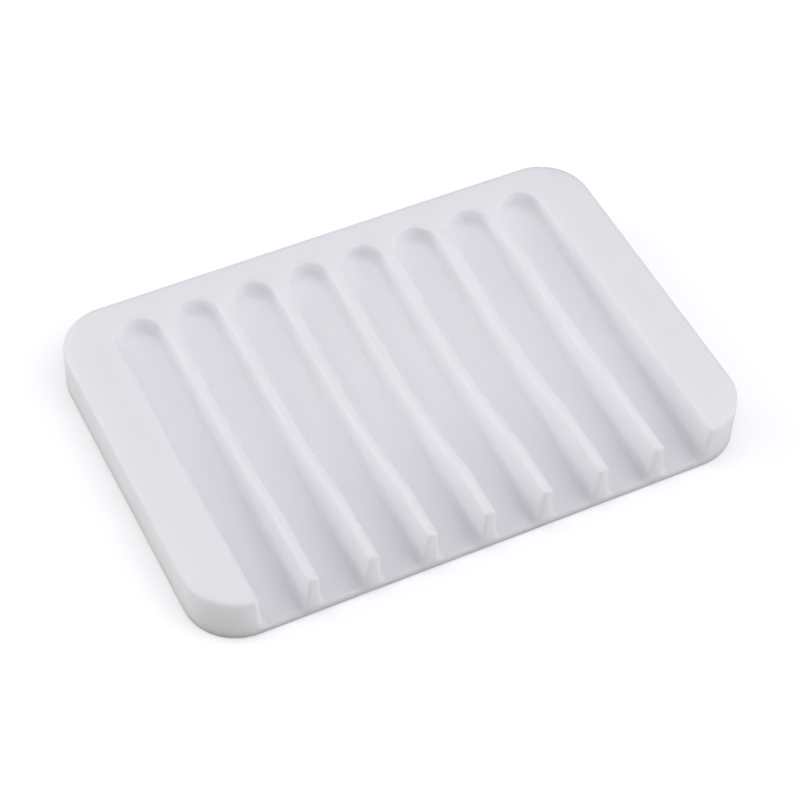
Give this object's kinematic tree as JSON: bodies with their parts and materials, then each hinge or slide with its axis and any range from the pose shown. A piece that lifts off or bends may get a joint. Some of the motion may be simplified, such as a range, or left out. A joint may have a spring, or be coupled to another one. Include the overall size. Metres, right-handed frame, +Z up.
{
  "type": "soap dish",
  "caption": "Flat silicone soap tray with sloping drain channels between ribs, an open front edge for run-off and a shallow hollow across the ribs for the bar.",
  "frame": {"origin": "middle of the flat underside", "axes": "+X along the long side, across the channels; -Y towards the open front edge where the channels drain; +Z up"},
  "size_m": [0.115, 0.078, 0.0104],
  "materials": {
    "silicone": "matt to satin cool-white moulded silicone, opaque, with a very fine moulded texture"
  },
  "bodies": {
    "root": {"soap_tray": "silicone"}
  },
  "joints": []
}
